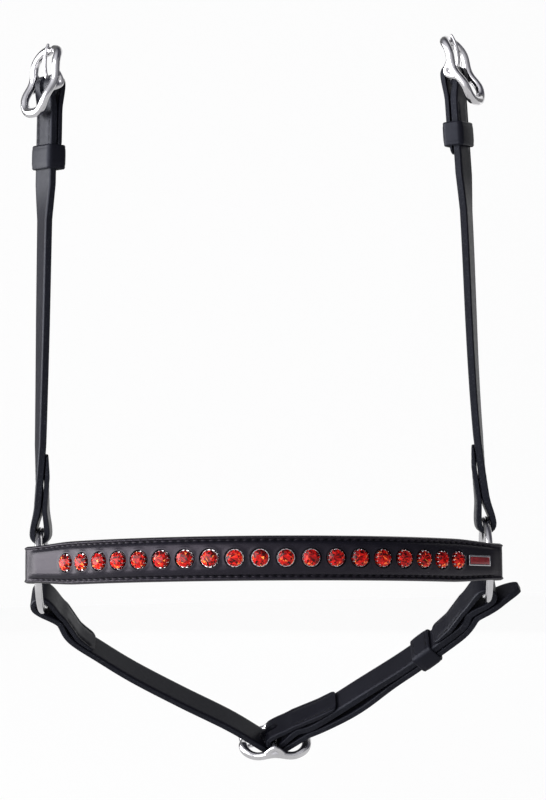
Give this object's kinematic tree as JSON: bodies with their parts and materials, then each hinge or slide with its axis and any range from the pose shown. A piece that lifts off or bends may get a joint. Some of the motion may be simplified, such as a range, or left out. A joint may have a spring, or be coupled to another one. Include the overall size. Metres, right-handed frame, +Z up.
{
  "type": "bridle noseband",
  "caption": "Padded leather noseband of a bridle with a jewelled front, metal rings, buckled cheekpieces and an adjustable chin strap.",
  "frame": {"origin": "halfway between the centre bars of the two top buckles, by which the headpiece holds the noseband", "axes": "+X to the viewer's right as seen from in front, +Y back towards the poll, +Z up along the hanging cheekpieces"},
  "size_m": [0.2469, 0.1628, 0.37],
  "materials": {
    "band_lower_thread": "waxed black thread",
    "band_upper_thread": "waxed black thread",
    "chin_buckle_frame": "polished",
    "chin_buckle_tongue": "polished",
    "chin_keeper": "semi-gloss, smooth grain",
    "crystal_01": "cut and polished, foiled behind",
    "crystal_02": "cut and polished, foiled behind",
    "crystal_03": "cut and polished, foiled behind",
    "crystal_04": "cut and polished, foiled behind",
    "crystal_05": "cut and polished, foiled behind",
    "crystal_06": "cut and polished, foiled behind",
    "crystal_07": "cut and polished, foiled behind",
    "crystal_08": "cut and polished, foiled behind",
    "crystal_09": "cut and polished, foiled behind",
    "crystal_10": "cut and polished, foiled behind",
    "crystal_11": "cut and polished, foiled behind",
    "crystal_12": "cut and polished, foiled behind",
    "crystal_13": "cut and polished, foiled behind",
    "crystal_14": "cut and polished, foiled behind",
    "crystal_15": "cut and polished, foiled behind",
    "crystal_16": "cut and polished, foiled behind",
    "crystal_17": "cut and polished, foiled behind",
    "crystal_18": "cut and polished, foiled behind",
    "crystal_19": "cut and polished, foiled behind",
    "crystal_setting_01": "polished",
    "crystal_setting_02": "polished",
    "crystal_setting_03": "polished",
    "crystal_setting_04": "polished",
    "crystal_setting_05": "polished",
    "crystal_setting_06": "polished",
    "crystal_setting_07": "polished",
    "crystal_setting_08": "polished",
    "crystal_setting_09": "polished",
    "crystal_setting_10": "polished",
    "crystal_setting_11": "polished",
    "crystal_setting_12": "polished",
    "crystal_setting_13": "polished",
    "crystal_setting_14": "polished",
    "crystal_setting_15": "polished",
    "crystal_setting_16": "polished",
    "crystal_setting_17": "polished",
    "crystal_setting_18": "polished",
    "crystal_setting_19": "polished",
    "left_buckle_frame": "polished",
    "left_buckle_tongue": "polished",
    "left_cheek_keeper": "semi-gloss, smooth grain",
    "left_cheek_strap": "semi-gloss, smooth grain",
    "left_chin_strap": "semi-gloss, smooth grain",
    "left_ring": "polished",
    "nose_band_face": "semi-gloss, smooth grain",
    "nose_band_lining": "soft, matt",
    "nose_band_padding": "soft, matt",
    "plate_enamel": "gloss enamel, left bare",
    "plate_frame": "polished",
    "right_buckle_frame": "polished",
    "right_buckle_tongue": "polished",
    "right_cheek_keeper": "semi-gloss, smooth grain",
    "right_cheek_strap": "semi-gloss, smooth grain",
    "right_chin_strap": "semi-gloss, smooth grain",
    "right_ring": "polished"
  },
  "bodies": {
    "cheekpieces": {"left_cheek_strap": "left_cheek_strap", "right_cheek_strap": "right_cheek_strap"},
    "left_buckle": {"left_buckle_frame": "left_buckle_frame"},
    "left_tongue": {"left_buckle_tongue": "left_buckle_tongue"},
    "left_keeper": {"left_cheek_keeper": "left_cheek_keeper"},
    "left_ring": {"left_ring": "left_ring"},
    "right_buckle": {"right_buckle_frame": "right_buckle_frame"},
    "right_tongue": {"right_buckle_tongue": "right_buckle_tongue"},
    "right_keeper": {"right_cheek_keeper": "right_cheek_keeper"},
    "right_ring": {"right_ring": "right_ring"},
    "nose_band": {"nose_band_face": "nose_band_face", "nose_band_padding": "nose_band_padding", "nose_band_lining": "nose_band_lining", "crystal_01": "crystal_01", "crystal_02": "crystal_02", "crystal_03": "crystal_03", "crystal_04": "crystal_04", "crystal_05": "crystal_05", "crystal_06": "crystal_06", "crystal_07": "crystal_07", "crystal_08": "crystal_08", "crystal_09": "crystal_09", "crystal_10": "crystal_10", "crystal_11": "crystal_11", "crystal_12": "crystal_12", "crystal_13": "crystal_13", "crystal_14": "crystal_14", "crystal_15": "crystal_15", "crystal_16": "crystal_16", "crystal_17": "crystal_17", "crystal_18": "crystal_18", "crystal_19": "crystal_19", "crystal_setting_01": "crystal_setting_01", "crystal_setting_02": "crystal_setting_02", "crystal_setting_03": "crystal_setting_03", "crystal_setting_04": "crystal_setting_04", "crystal_setting_05": "crystal_setting_05", "crystal_setting_06": "crystal_setting_06", "crystal_setting_07": "crystal_setting_07", "crystal_setting_08": "crystal_setting_08", "crystal_setting_09": "crystal_setting_09", "crystal_setting_10": "crystal_setting_10", "crystal_setting_11": "crystal_setting_11", "crystal_setting_12": "crystal_setting_12", "crystal_setting_13": "crystal_setting_13", "crystal_setting_14": "crystal_setting_14", "crystal_setting_15": "crystal_setting_15", "crystal_setting_16": "crystal_setting_16", "crystal_setting_17": "crystal_setting_17", "crystal_setting_18": "crystal_setting_18", "crystal_setting_19": "crystal_setting_19", "plate_frame": "plate_frame", "plate_enamel": "plate_enamel", "band_upper_thread": "band_upper_thread", "band_lower_thread": "band_lower_thread"},
    "chin_strap": {"left_chin_strap": "left_chin_strap", "right_chin_strap": "right_chin_strap"},
    "chin_buckle": {"chin_buckle_frame": "chin_buckle_frame"},
    "chin_tongue": {"chin_buckle_tongue": "chin_buckle_tongue"},
    "chin_keeper": {"chin_keeper": "chin_keeper"}
  },
  "joints": [
    {"name": "left_buckle_tilt", "type": "hinge", "parent": "cheekpieces", "child": "left_buckle", "pos_m": [-0.1012, 0, 0], "axis": [-0.5872, 0.809, 0.0263], "range_deg": [-8, 20]},
    {"name": "left_tongue_lift", "type": "hinge", "parent": "left_buckle", "child": "left_tongue", "pos_m": [-0.1012, 0, 0], "axis": [0.5872, -0.809, -0.0263], "range_deg": [0, 75]},
    {"name": "left_keeper_slide", "type": "slide", "parent": "cheekpieces", "child": "left_keeper", "axis": [0.0448, 0, 0.999], "range_m": [-0.007, 0.01]},
    {"name": "left_ring_spin", "type": "hinge", "parent": "cheekpieces", "child": "left_ring", "pos_m": [-0.1112, 0, -0.243], "axis": [1, 0, 0], "continuous": true},
    {"name": "right_buckle_tilt", "type": "hinge", "parent": "cheekpieces", "child": "right_buckle", "pos_m": [0.1012, 0, 0], "axis": [-0.4379, -0.8988, -0.0196], "range_deg": [-8, 20]},
    {"name": "right_tongue_lift", "type": "hinge", "parent": "right_buckle", "child": "right_tongue", "pos_m": [0.1012, 0, 0], "axis": [0.4379, 0.8988, 0.0196], "range_deg": [0, 75]},
    {"name": "right_keeper_slide", "type": "slide", "parent": "cheekpieces", "child": "right_keeper", "axis": [-0.0448, 0, 0.999], "range_m": [-0.01, 0.004]},
    {"name": "right_ring_spin", "type": "hinge", "parent": "cheekpieces", "child": "right_ring", "pos_m": [0.1112, 0, -0.243], "axis": [1, 0, 0], "continuous": true},
    {"name": "nose_band_pitch", "type": "hinge", "parent": "cheekpieces", "child": "nose_band", "pos_m": [0, 0, -0.243], "axis": [-1, 0, 0], "range_deg": [-20, 10]},
    {"name": "chin_strap_swing", "type": "hinge", "parent": "cheekpieces", "child": "chin_strap", "pos_m": [0, 0, -0.243], "axis": [1, 0, 0], "range_deg": [-30, 40]},
    {"name": "chin_buckle_pivot", "type": "hinge", "parent": "chin_strap", "child": "chin_buckle", "pos_m": [0.003, 0.05882, -0.33713], "axis": [0, -0.848, -0.5299], "range_deg": [-4, 4]},
    {"name": "chin_tongue_lift", "type": "hinge", "parent": "chin_buckle", "child": "chin_tongue", "pos_m": [0.003, 0.05882, -0.33713], "axis": [0, -0.848, -0.5299], "range_deg": [0, 4]},
    {"name": "chin_keeper_slide", "type": "slide", "parent": "chin_strap", "child": "chin_keeper", "axis": [0.7447, -0.3536, 0.566], "range_m": [-0.008, 0.002]}
  ]
}
